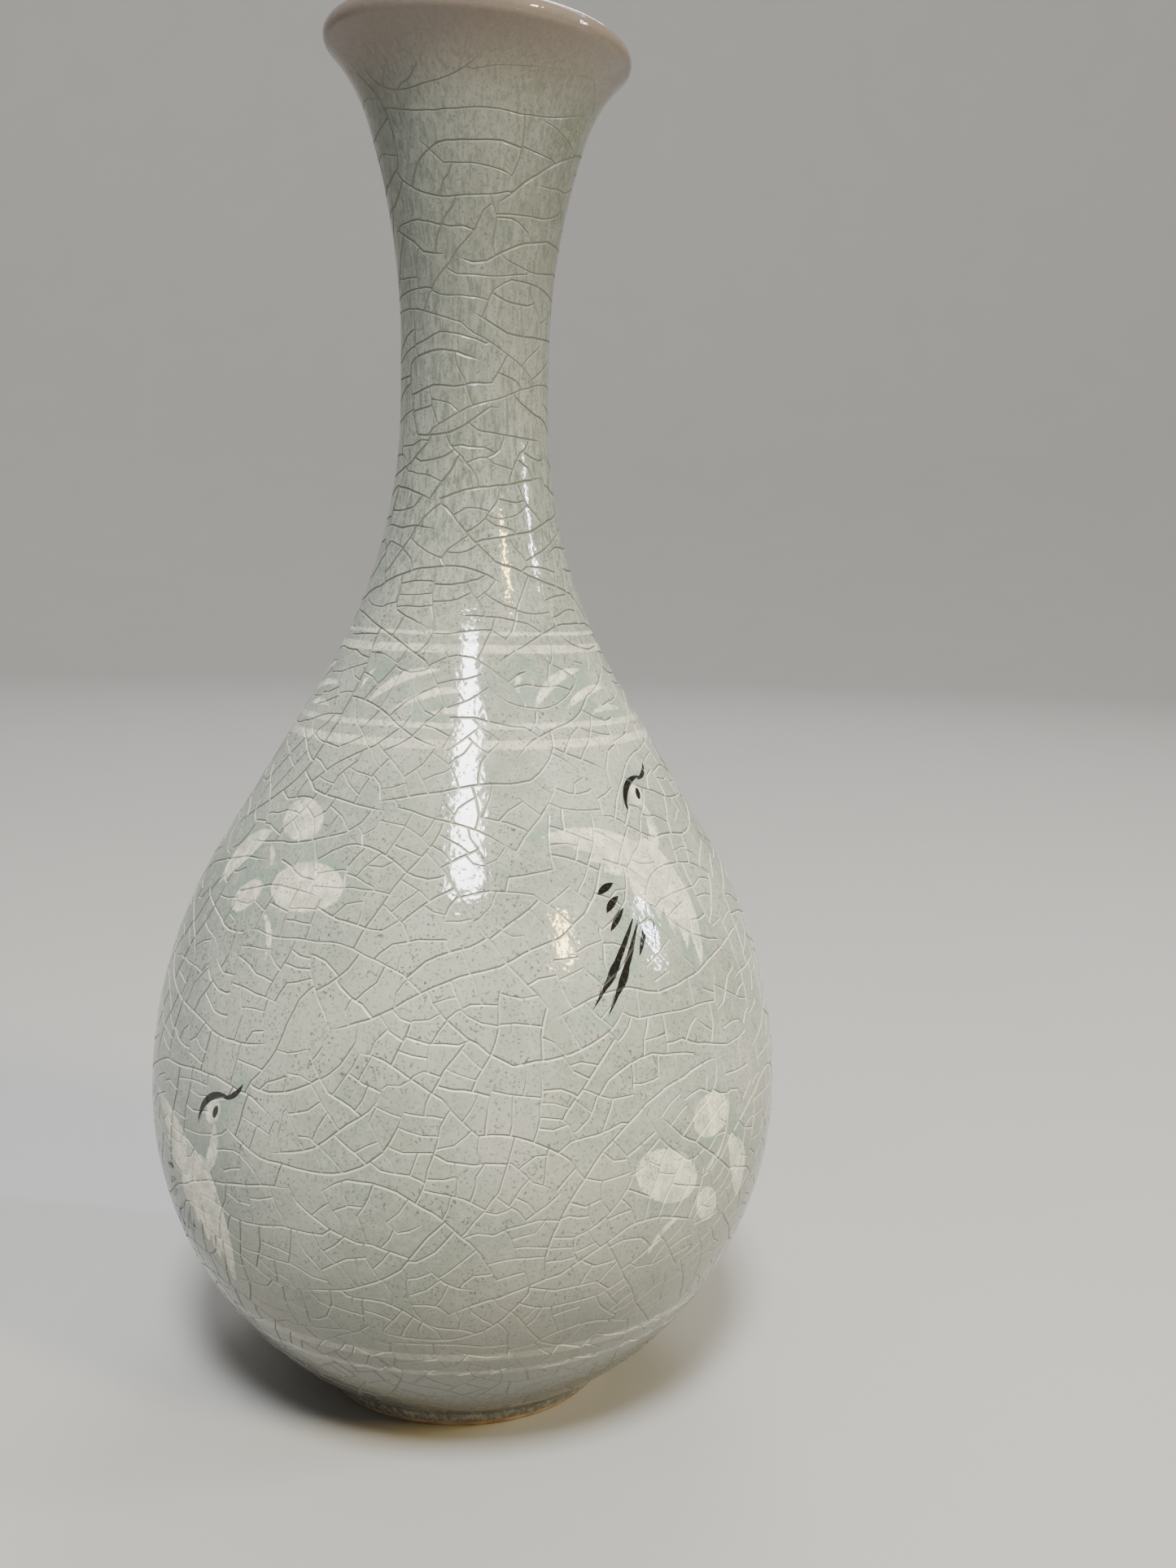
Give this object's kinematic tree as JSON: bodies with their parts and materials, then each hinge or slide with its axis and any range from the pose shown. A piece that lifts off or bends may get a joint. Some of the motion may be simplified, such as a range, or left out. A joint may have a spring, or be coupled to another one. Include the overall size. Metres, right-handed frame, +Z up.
{
  "type": "ceramic bud vase",
  "caption": "Pear-shaped celadon bottle vase with a slender flared neck, crackle glaze, and cranes, clouds and lines inlaid in slip.",
  "frame": {"origin": "centre of the foot ring, on the surface that the vase stands on", "axes": "+Z up along the vase's axis, -Y the front of the vase, +X to the right seen from the front"},
  "size_m": [0.076, 0.076, 0.1609],
  "materials": {
    "clay": "bare fired stoneware, matt and slightly gritty",
    "celadon_glaze": "glossy grey-green celadon glaze with a fine crackle",
    "white_slip": "white clay inlay under clear glaze",
    "black_slip": "black clay inlay under clear glaze"
  },
  "bodies": {
    "root": {"stoneware_body": "clay", "outer_glaze": "celadon_glaze", "inner_glaze": "celadon_glaze", "foot_recess_glaze": "celadon_glaze", "slip_line_neck_upper": "white_slip", "slip_line_neck_lower": "white_slip", "slip_line_shoulder_upper": "white_slip", "slip_line_shoulder_lower": "white_slip", "slip_line_base_upper": "white_slip", "slip_line_base_lower": "white_slip", "slip_leaves_1": "white_slip", "slip_leaves_2": "white_slip", "slip_leaves_3": "white_slip", "slip_leaves_4": "white_slip", "slip_leaves_5": "white_slip", "slip_leaves_6": "white_slip", "crane_front_upper_white": "white_slip", "crane_front_upper_black": "black_slip", "cloud_front_upper": "white_slip", "crane_front_lower_white": "white_slip", "crane_front_lower_black": "black_slip", "cloud_front_lower": "white_slip", "crane_back_upper_white": "white_slip", "crane_back_upper_black": "black_slip", "cloud_back_upper": "white_slip", "crane_back_lower_white": "white_slip", "crane_back_lower_black": "black_slip", "cloud_back_lower": "white_slip"}
  },
  "joints": []
}
